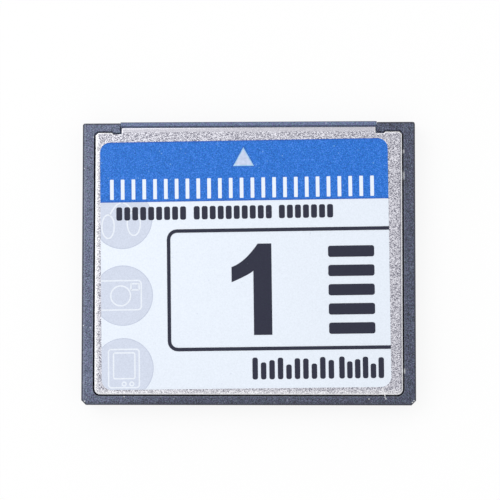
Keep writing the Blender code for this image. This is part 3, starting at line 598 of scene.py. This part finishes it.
def boardMaterial(look, frontY):
    material, tree, place = newMaterial("boardLaminate", look)
    split = splitPlace(tree, place)
    lines = addNode(tree, "ShaderNodeTexBrick", {"Vector": place, **look["traces"]},
                    offset=look["traceShift"]).outputs["Color"]
    base = mottled(tree, place, paint(tree, look["mask"], look["trace"], lines), look)
    column = calc(tree, "FRACT", timesPlus(tree, split[0], 1 / look["pitch"], 0.5))
    column = calc(tree, "ABSOLUTE", minus(tree, column, 0.5))
    pads = times(tree, under(tree, column, look["padShare"]),
                 over(tree, split[1], frontY - look["padLength"]))
    base = paint(tree, base, look["pad"], pads)
    base = paint(tree, base, look["upperPart"], over(tree, split[2], look["high"] + look["past"]))
    base = paint(tree, base, look["lowerPart"], under(tree, split[2], look["low"] - look["past"]))
    return finishMaterial(material, place, base, look)


chipLook = {"moulding": (0.018, 0.018, 0.02, 1), "lead": (0.6, 0.6, 0.62, 1), "reach": 0.0008,
            "mottle": 0.4, "mottleScale": 2500.0, "grainScale": 4200.0, "roughness": 0.5,
            "roughSwing": 0.2, "bump": 0.3}


def chipMaterial(name, look, low, high, leadAxes):
    # Leads stand out of the package by the reach, at both ends of each axis that has them.
    material, tree, place = newMaterial(name, look)
    split = splitPlace(tree, place)
    leads = 0.0
    for axis in leadAxes:
        centre, half = (low[axis] + high[axis]) / 2, (high[axis] - low[axis]) / 2
        away = calc(tree, "ABSOLUTE", minus(tree, split[axis], centre))
        leads = calc(tree, "MAXIMUM", leads, over(tree, away, half - look["reach"]))
    base = mottled(tree, place, look["moulding"], look)
    base = paint(tree, base, look["lead"], leads)
    tree.links.new(leads, tree.nodes["Principled BSDF"].inputs["Metallic"])
    return finishMaterial(material, place, base, look)


# Paper and inks: one colour each, mottled, with a few specks and, where listed, darker lines.
# A line is its height on the label, its half width and its share of the colour.

plainInk = {"mottle": 0.06, "mottleScale": 6000.0, "speckScale": 3000.0, "speckShare": 0.02,
            "speckRadius": 0.35, "speckStrength": 0.6, "lines": (), "grainScale": 2600.0,
            "roughness": 0.42, "roughSwing": 0.12, "bump": 0.1}
arrowPrint = {"mottle": 0.12, "mottleScale": 2400.0, "speckScale": 1400.0, "speckShare": 0.04}
inkLooks = {
    "labelPaper": {"colour": (0.822, 0.885, 0.980, 1), "speck": (0.66, 0.72, 0.84, 1),
                   "mottle": 0.04, "speckScale": 2600.0, "speckShare": 0.004},
    "blueInk": {"colour": (0.000, 0.150, 0.636, 1), "speck": (0.20, 0.45, 0.84, 1),
                "specular": 0.38, "mottle": 0.39, "mottleScale": 7800.0, "tint": 0.05,
                "speckScale": 3600.0, "speckShare": 0.03, "lineColour": (0.010, 0.07, 0.40, 1),
                "lines": ((0.01588, 0.00013, 0.7), (0.00823, 0.00014, 0.45))},
    "darkInk": {"colour": (0.015, 0.017, 0.040, 1), "speck": (0.08, 0.085, 0.13, 1),
                "specular": 0.3, "mottle": 0.12, "tint": 0.1, "roughness": 0.50,
                "speckScale": 2600.0, "speckShare": 0.006},
    "discInk": {"colour": (0.640, 0.695, 0.825, 1), "speck": (0.55, 0.61, 0.76, 1),
                "speckShare": 0.01},
    "discEdgeInk": {"colour": (0.555, 0.610, 0.745, 1), "speck": (0.64, 0.70, 0.82, 1)},
    "lineInk": {"colour": (0.820, 0.870, 0.950, 1), "speck": (0.66, 0.73, 0.84, 1),
                "mottle": 0.05},
    "arrowInk": {"colour": (0.555, 0.635, 0.835, 1), "speck": (0.45, 0.60, 0.86, 1), **arrowPrint},
    "arrowShadeInk": {"colour": (0.004, 0.10, 0.50, 1), "speck": (0.02, 0.16, 0.60, 1),
                      **arrowPrint, "speckShare": 0.02},
    "arrowRimInk": {"colour": (0.30, 0.58, 0.83, 1), "speck": (0.55, 0.72, 0.88, 1), **arrowPrint},
}


def inkMaterial(name, look, labelCentre, labelTurn):
    material, tree, place = newMaterial(name, look)
    local = addNode(tree, "ShaderNodeMapping", {
        "Vector": place, "Location": (*labelCentre, 0), "Rotation": (0, 0, labelTurn)},
        vector_type="TEXTURE").outputs[0]
    base = mottled(tree, local, look["colour"], look)
    dots = useGroup(tree, specks, Vector=local, Scale=look["speckScale"],
                    Share=look["speckShare"], Radius=look["speckRadius"])[0]
    base = paint(tree, base, look["speck"], dots, look["speckStrength"])
    for centre, halfWidth, share in look["lines"]:
        line = lineMask(tree, splitPlace(tree, local)[1], centre, halfWidth)
        base = paint(tree, base, look["lineColour"], line, share)
    return finishMaterial(material, local, base, look)


labelLow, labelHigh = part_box("label")
labelTop = labelHigh.z
labelCentre = ((labelLow.x + labelHigh.x) / 2, (labelLow.y + labelHigh.y) / 2)
labelTurn = math.radians(0.71)
inks = {name: inkMaterial(name, {**plainInk, **look}, labelCentre, labelTurn)
        for name, look in inkLooks.items()}
steel = steelMaterial(steelLook)
gold = goldMaterial(goldLook)

keptMaterials = {
    "frame": frameMaterial(frameLook, frameShape),
    "connector_housing": housingMaterial(housingLook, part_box("connector_housing")[1].y),
    "circuit_board": boardMaterial(boardLook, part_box("circuit_board")[1].y),
    "flash_chip": chipMaterial("flashMoulding", chipLook, *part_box("flash_chip"), (1,)),
    "controller_chip": chipMaterial(
        "controllerMoulding", chipLook, *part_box("controller_chip"), (0, 1)),
    "label_rule": inks["darkInk"],
}
for nodeName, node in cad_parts.items():
    finish = keptMaterials.get(nodeName, gold if nodeName.startswith("contact_") else None)
    if finish is not None:
        node.data.materials.clear()
        node.data.materials.append(finish)
print("materials built")

# The two stamped covers, folded down round their edges, with a window in each tab.
# "rim" is how strongly each ring carries the steel's painted highlight, from the flat top
# outwards and down the rounded edge.

cover = {
    "side": 0.01994, "rear": -0.01707, "cornerRadius": 0.00093, "blockRear": 0.01705,
    "shoulder": 0.00045, "hookOuter": 0.01754, "hookDepth": 0.0002, "blockInner": 0.01656,
    "front": 0.01765, "gap": 0.00013, "top": 0.0032, "thickness": 0.0033, "sheet": 0.00018,
    "edgeRadius": 0.0002, "edgeSteps": 6, "flatInsets": (0.00034, 0.00027),
    "rim": (0, 0.2, 0.6, 1.0, 0.8, 0.3), "fold": 0.00038, "foldFront": 0.01638, "near": 0.00001,
    "tabs": 3, "tab": 0.0009, "tabLength": 0.005, "tabInset": 0.0075, "tabFront": 0.01652,
    "window": 0.0022, "windowHeight": 0.00022,
}


def coverShape(size):
    # Two parameters: place along the outline, and place down a profile that starts flat on top,
    # rounds the edge as a quarter circle and then drops down the fold and its tabs.
    side, rear, gap, inset = size["side"], size["rear"], size["gap"], size["tabInset"]
    block, inner, outer = size["blockRear"], size["blockInner"], size["hookOuter"]
    half, notch = size["tabLength"] / 2, size["hookDepth"]
    sideTabs = np.linspace(rear + inset, size["tabFront"] - inset, size["tabs"])
    rearTabs = np.linspace(-side + inset, side - inset, size["tabs"])
    steps = np.array([-half, -size["window"] / 2, size["window"] / 2, half])
    sideStops = (sideTabs[:, None] + steps).ravel()
    rearStops = (rearTabs[:, None] + steps).ravel()
    corners = [(side, rear, size["cornerRadius"])] + [(side, y, 0) for y in sideStops]
    corners += [(side, size["foldFront"], 0), (side, block - size["shoulder"], 0),
                (side - size["shoulder"], block, 0), (outer, block, 0),
                (outer - notch, block - notch, 0), (inner, block - notch, 0),
                (inner, size["front"], 0)]
    corners += [(-x, y, radius) for x, y, radius in reversed(corners)]
    corners += [(x, rear, 0) for x in rearStops]
    outline = insetOutline(roundOutline(corners), gap)

    quarter = np.linspace(0, math.pi / 2, size["edgeSteps"])
    radius, flats = size["edgeRadius"], size["flatInsets"]
    middle, halfWindow = (size["fold"] + size["tab"]) / 2, size["windowHeight"] / 2
    drops = [size["fold"], middle - halfWindow, middle + halfWindow, size["tab"]]
    insets = np.concatenate([flats, radius * (1 - np.sin(quarter)), np.zeros(len(drops))])
    depths = np.concatenate([np.zeros(len(flats)), radius * (1 - np.cos(quarter)), drops])
    rings = ringsAlong(outline, list(zip(insets, size["top"] - depths)))

    # The fold runs along the sides and the rear, and below it only the tabs go on.
    edgeMiddle = (outline + np.roll(outline, -1, axis=0)) / 2
    onSide = np.abs(edgeMiddle[:, 0]) > side - gap - size["near"]
    onRear = edgeMiddle[:, 1] < rear + gap + size["near"]
    away = np.where(onSide, np.abs(edgeMiddle[:, 1, None] - sideTabs).min(axis=1),
                    np.where(onRear, np.abs(edgeMiddle[:, 0, None] - rearTabs).min(axis=1), 1.0))
    folded = edgeMiddle[:, 1] < size["foldFront"]
    inTab, inWindow = away < half, away < size["window"] / 2
    count, rows = len(outline), len(insets)
    whole = [np.ones(count, bool)] * (rows - len(drops) - 1)
    kept = np.array(whole + [folded, inTab, inTab & ~inWindow, inTab])
    faces = gridFaces(rows, count)[kept.ravel()][:, ::-1]
    rim = np.concatenate([size["rim"], np.zeros(rows - len(size["rim"]))])
    return rings.reshape(-1, 3), faces, [np.arange(count)], np.repeat(rim, count)


def addRim(piece, values):
    piece.data.attributes.new("rim", "FLOAT", "POINT").data.foreach_set("value", values)


def makeCover(name, node, turnedOver):
    points, faces, caps, rim = coverShape(cover)
    if turnedOver:      # half a turn about the card's long axis
        points = points * (-1, 1, -1) + (0, 0, cover["thickness"])
    used = np.unique(faces)
    renumber = np.zeros(len(points), int)
    renumber[used] = np.arange(len(used))
    shape = points[used], renumber[faces], [renumber[cap] for cap in caps]
    piece = makePiece(name, shape, steel, "cover_steel", node, sharpAngle=50)
    addRim(piece, rim[used])
    wall = piece.modifiers.new("sheet", "SOLIDIFY")
    wall.thickness = cover["sheet"]
    wall.offset = -1


makeCover("topCoverSheet", "top_cover", False)
makeCover("bottomCoverSheet", "bottom_cover", True)

# A burr of the sheet across its rear gap, laid out in millimetres.

burr = {"path": ((17.12, -15.95), (17.22, -16.25), (17.37, -16.62), (17.43, -16.92),
                 (17.46, -17.05)), "width": 0.10, "low": 0.005, "high": 0.05}
burrShape = ribbonShape(np.array(burr["path"]) * mm, burr["width"] * mm,
                        cover["top"] + burr["low"] * mm, cover["top"] + burr["high"] * mm, False)
# The burr takes the whole painted highlight of the rim.
addRim(makePiece("rearBurr", burrShape, steel, "cover_steel"), np.ones(len(burrShape[0])))
print("covers stamped")

# The label and its print, laid out in millimetres from its centre, u to the right and v up.
# A layer's "low" and "high" are heights above the label's top.

label = {"width": 37.05, "length": 31.87, "cornerRadius": 1.32, "cornerSteps": 12,
         "bandRear": 8.155, "rolled": 0.015, "printInset": 0.02, "shortest": 0.004}
halfLabel, labelFront = label["width"] / 2, label["length"] / 2


def onLabel(points):
    # Turned by the label's angle, then moved to its centre.
    u, v = np.asarray(points, float).T
    c, s = math.cos(labelTurn), math.sin(labelTurn)
    return np.stack([u * c - v * s, u * s + v * c], axis=1) * mm + labelCentre


def inkPlate(outline, layer):
    # Upright from low, then drawn in by the edge over as much height.
    low, high, edge = layer["low"], layer["high"], layer["edge"]
    return plateShape(onLabel(outline), [
        (0, labelTop + low * mm), (0, labelTop + (high - edge) * mm),
        (edge * mm, labelTop + high * mm)])


def barOutline(u, v, width, length, radius, steps=4):
    w, h = width / 2, length / 2
    return roundOutline([(u - w, v - h, radius), (u + w, v - h, radius), (u + w, v + h, radius),
                         (u - w, v + h, radius)], steps)


def roundedBar(look, u, v, length):
    return barOutline(u, v, look["width"], length, look["radius"], look["steps"])


def bezier(first, control, last, steps):
    # Quadratic curve: (1 - t)^2 first + 2 t (1 - t) control + t^2 last, without its last point.
    t = np.linspace(0, 1, steps, endpoint=False)[:, None]
    first, control, last = np.array([first, control, last])
    return (1 - t) ** 2 * first + 2 * t * (1 - t) * control + t ** 2 * last


def circle(centre, radius, count=72, tall=1.0):
    # Radius times cosine across, and times sine and the stretch up.
    angle = np.linspace(0, 2 * math.pi, count, endpoint=False)
    return np.stack([centre[0] + radius * np.cos(angle),
                     centre[1] + radius * tall * np.sin(angle)], axis=1)


def insideLabel(points, upper):
    # Points past the sides, the rounded lower left corner or the upper line are drawn back to
    # it, and one is kept of those that then lie together.
    radius = label["cornerRadius"]
    farSide, farRear = halfLabel - label["printInset"], labelFront - label["printInset"]
    u = np.clip(points[:, 0], -farSide, farSide)
    v = np.clip(points[:, 1], -farRear, upper)
    offset = np.stack([u + farSide - radius, v + farRear - radius], axis=1)
    reach = np.linalg.norm(offset, axis=1)
    corner = (offset[:, 0] < 0) & (offset[:, 1] < 0) & (reach > radius)
    drawn = offset / np.maximum(reach, radius)[:, None] * radius
    drawn += (radius - farSide, radius - farRear)
    kept = np.where(corner[:, None], drawn, np.stack([u, v], axis=1))
    step = np.linalg.norm(kept - np.roll(kept, 1, axis=0), axis=1)
    return kept[step > label["shortest"]]


rolled = label["rolled"] * mm
labelOutline = onLabel(barOutline(0, 0, label["width"], label["length"],
                                  label["cornerRadius"], label["cornerSteps"]))
makePiece("labelSheet", plateShape(labelOutline, [
    (0, labelLow.z), (0, labelTop - rolled), (rolled / 3, labelTop - rolled / 3),
    (rolled, labelTop)]), inks["labelPaper"], "label_stock", "label")

band = {"low": 0.010, "high": 0.020, "edge": 0.003}
bandOutline = roundOutline([
    (-halfLabel, label["bandRear"], 0), (halfLabel, label["bandRear"], 0),
    (halfLabel, labelFront, label["cornerRadius"]),
    (-halfLabel, labelFront, label["cornerRadius"])], label["cornerSteps"])
makePiece("printedBand", inkPlate(bandOutline, band), inks["blueInk"], "blue_print", "label_band")

stripes = {"count": 25, "pitch": 1.395, "shift": -0.28, "width": 0.47, "length": 2.60,
           "rear": 0.35, "radius": 0.06, "steps": 3, "low": 0.021, "high": 0.025, "edge": 0.001}
stripeMiddle = label["bandRear"] + stripes["rear"] + stripes["length"] / 2
stripePlaces = np.arange(stripes["count"]) - (stripes["count"] - 1) / 2
stripePlaces = stripePlaces * stripes["pitch"] + stripes["shift"]
makePiece("printedStripes", joinShapes([
    inkPlate(roundedBar(stripes, place, stripeMiddle, stripes["length"]), stripes)
    for place in stripePlaces]), inks["labelPaper"], "label_stock")

discs = {"centres": ((-15.70, 6.02), (-15.70, -3.85), (-15.70, -13.19)), "radius": 3.88,
         "ring": 0.11, "ringLayer": {"low": 0.001, "high": 0.004, "edge": 0.001},
         "layer": {"low": 0.005, "high": 0.008, "edge": 0.001}}
for name, ink, radius, layer in (
        ("printedDiscEdges", "discEdgeInk", discs["radius"], discs["ringLayer"]),
        ("printedDiscs", "discInk", discs["radius"] - discs["ring"], discs["layer"])):
    makePiece(name, joinShapes([
        inkPlate(insideLabel(circle(centre, radius), label["bandRear"]), layer)
        for centre in discs["centres"]]), inks[ink], "label_stock")

signs = {
    "line": 0.19, "low": 0.009, "high": 0.014, "circleSteps": 36, "arcSteps": 12,
    "box": {"left": 0.03, "right": -13.33, "low": -5.69, "high": -1.93, "radius": 0.45, "steps": 5},
    "circles": (((-15.99, -3.88), 1.28, 1.0), ((-15.61, -15.18), 0.25, 1.0),
                ((-14.64, -15.18), 0.25, 1.0), ((-17.55, 5.05), 0.80, 1.9),
                ((-14.22, 5.41), 0.85, 1.8)),
    "frames": ((-14.13, -2.74, 1.05, 0.80, 0.06), (-15.64, -13.20, 3.95, 4.9, 0.35),
               (-15.60, -12.85, 2.75, 3.30, 0.22)),
    "arcs": (((-17.30, 6.55), (-16.6, 8.0), (-15.9, 8.08)),
             ((-15.6, 8.08), (-14.9, 8.0), (-14.4, 6.95))),
}


def signLine(path, closed=True):
    return ribbonShape(onLabel(path), signs["line"] * mm, labelTop + signs["low"] * mm,
                       labelTop + signs["high"] * mm, closed)


def openBox(box):
    # A box with round corners on its right, open near the label's left edge.
    left, right, low, high = box["left"] - halfLabel, box["right"], box["low"], box["high"]
    corners = [(left, high, 0), (left, low, 0), (right, low, box["radius"]),
               (right, high, box["radius"])]
    rounded = roundOutline(corners, box["steps"])[2:][::-1]
    return np.concatenate([[(left, high)], rounded, [(left, low)]])


signShapes = [signLine(openBox(signs["box"]), False)]
signShapes += [signLine(circle(centre, radius, signs["circleSteps"], tall))
               for centre, radius, tall in signs["circles"]]
signShapes += [signLine(barOutline(*bar)) for bar in signs["frames"]]
signShapes += [signLine(np.concatenate([bezier(*arc, signs["arcSteps"]), arc[2:]]), False)
               for arc in signs["arcs"]]
makePiece("printedSigns", joinShapes(signShapes), inks["lineInk"], "label_stock")

# The arrow is three plates, each the triangle drawn in by its inset.

arrow = {
    "apex": (0.0, 15.065), "base": 12.605, "halfWidth": 1.365,
    "shade": {"inset": -0.10, "low": 0.021, "high": 0.023, "edge": 0.001},
    "rim": {"inset": 0.01, "low": 0.024, "high": 0.0265, "edge": 0.001},
    "face": {"inset": 0.12, "low": 0.0275, "high": 0.030, "edge": 0.001},
}
arrowOutline = roundOutline([(-arrow["halfWidth"], arrow["base"], 0),
                             (arrow["halfWidth"], arrow["base"], 0), (*arrow["apex"], 0)])
for name, layer, ink, slotName in (
        ("printedArrowShade", "shade", "arrowShadeInk", "blue_print"),
        ("printedArrowRim", "rim", "arrowRimInk", "label_stock"),
        ("printedArrow", "face", "arrowInk", "label_stock")):
    outline = insetOutline(arrowOutline, arrow[layer]["inset"])
    makePiece(name, inkPlate(outline, arrow[layer]), inks[ink], slotName)

darkPrint = {"low": 0.004, "high": 0.020, "edge": 0.004}


def darkPiece(name, outlines):
    shapes = [inkPlate(outline, darkPrint) for outline in outlines]
    makePiece(name, joinShapes(shapes), inks["darkInk"], "dark_print")


# The numeral is a stem with a flag, whose two curves are a start, a control and an end.

numeral = {"stem": ((1.10, -9.12), (3.45, -9.12), (3.45, 2.59)), "joint": ((1.10, -0.85),),
           "flag": ((1.69, 2.59), (0.045, 0.22), (-1.70, -0.38)), "flagSteps": 14,
           "under": ((-1.70, -2.32), (0.356, -1.486), (1.15, -0.89)), "underSteps": 10}
darkPiece("printedNumeral", [np.concatenate([
    numeral["stem"], bezier(*numeral["flag"], numeral["flagSteps"]), numeral["flag"][2:],
    bezier(*numeral["under"], numeral["underSteps"]), numeral["joint"]])])

# A group is where it starts and how many bars it has, the first of them "lead" pitches in.

ticks = {"groups": ((-16.40, 9), (-6.40, 10), (4.55, 7)), "pitch": 1.03, "lead": 0.3,
         "width": 0.76, "length": 1.72, "middle": 6.67, "radius": 0.24, "steps": 3}
darkPiece("printedTicks", [
    roundedBar(ticks, start + ticks["pitch"] * (index + ticks["lead"]), ticks["middle"],
               ticks["length"]) for start, count in ticks["groups"] for index in range(count)])

# The meter's groups hold their pitch too, and a bar's length is short, plus rise times the size
# of the cosine of its number times beat.

meter = {"groups": ((0.90, 10, 1.08), (12.00, 6, 1.00)), "lead": 0.27, "width": 0.70,
         "foot": -14.80, "short": 1.75, "rise": 1.05, "beat": 1.15, "radius": 0.26, "steps": 3}
meterBars = []
for start, count, pitch in meter["groups"]:
    lengths = meter["short"] + meter["rise"] * np.abs(np.cos(np.arange(count) * meter["beat"]))
    meterBars += [roundedBar(meter, start + pitch * (index + meter["lead"]),
                             meter["foot"] + length / 2, length)
                  for index, length in enumerate(lengths)]
darkPiece("printedMeter", meterBars)

gauge = {"middle": 13.65, "width": 5.9, "foot": -9.1, "bar": 1.44, "pitch": 2.46, "count": 5,
         "radius": 0.3, "steps": 4}
darkPiece("printedGauge", [
    roundedBar(gauge, gauge["middle"], gauge["foot"] + gauge["bar"] / 2 + index * gauge["pitch"],
               gauge["bar"]) for index in range(gauge["count"])])
print("label printed")

# A pale floor, soft light from all round and a key lamp to the left.

studio = {"world": 0.84, "key": 1.31, "floor": 0.98, "floorGlow": 0.85, "floorHalf": 1.0,
          "keyPlace": (-0.36, 0.24, 0.6), "keySize": 0.5, "white": (1, 1, 1, 1)}


def seenFlag(tree):
    # 1 for the camera's own rays and for what gloss and glass show.
    path = tree.nodes.new("ShaderNodeLightPath").outputs
    seen = calc(tree, "MAXIMUM", path["Is Camera Ray"], path["Is Glossy Ray"])
    return calc(tree, "MAXIMUM", seen, path["Is Transmission Ray"])


world = bpy.data.worlds.new("studioWorld")
world.use_nodes = True
scene.world = world
worldTree = world.node_tree
background = worldTree.nodes["Background"].inputs
background["Color"].default_value = studio["white"]
strength = timesPlus(worldTree, seenFlag(worldTree), 1 - studio["world"], studio["world"])
worldTree.links.new(strength, background["Strength"])

half = studio["floorHalf"]
floorMesh = bpy.data.meshes.new("floor")
floorMesh.from_pydata([(-half, -half, 0), (half, -half, 0), (half, half, 0), (-half, half, 0)],
                      [], [(0, 1, 2, 3)])
floor = addObject("floor", floorMesh)
floorPaint = bpy.data.materials.new("paleFloor")
floorPaint.use_nodes = True
floorTree = floorPaint.node_tree
floorTree.nodes.remove(floorTree.nodes["Principled BSDF"])
matt = addNode(floorTree, "ShaderNodeBsdfDiffuse", {"Color": (studio["floor"],) * 3 + (1,)})
glow = addNode(floorTree, "ShaderNodeEmission", {"Color": studio["white"], "Strength": 1.0})
share = times(floorTree, seenFlag(floorTree), studio["floorGlow"])
mixed = addNode(floorTree, "ShaderNodeMixShader", {
    0: share, 1: matt.outputs[0], 2: glow.outputs[0]})
floorTree.links.new(mixed.outputs[0], floorTree.nodes["Material Output"].inputs["Surface"])
floorMesh.materials.append(floorPaint)

lamp = bpy.data.lights.new("keyLamp", "AREA")
lamp.shape = "SQUARE"
lamp.size = studio["keySize"]
lamp.energy = studio["key"]
lampObject = addObject("keyLamp", lamp)
lampObject.location = studio["keyPlace"]
towards = -np.array(studio["keyPlace"])
lampObject.rotation_euler = (math.acos(-towards[2] / np.linalg.norm(towards)), 0,
                             math.atan2(towards[1], towards[0]) - math.pi / 2)

camera = {"location": (0.01192, -0.01340, 0.250), "turn": (3.486, 2.707, 0.038),
          "lens": 138.957, "sensor": 36, "nearest": 0.005}
cameraData = bpy.data.cameras.new("camera")
cameraData.lens = camera["lens"]
cameraData.sensor_width = camera["sensor"]
cameraData.clip_start = camera["nearest"]
cameraObject = addObject("camera", cameraData)
cameraObject.location = camera["location"]
cameraObject.rotation_euler = [math.radians(angle) for angle in camera["turn"]]
scene.camera = cameraObject
scene.view_settings.view_transform = "Standard"
print("studio ready")
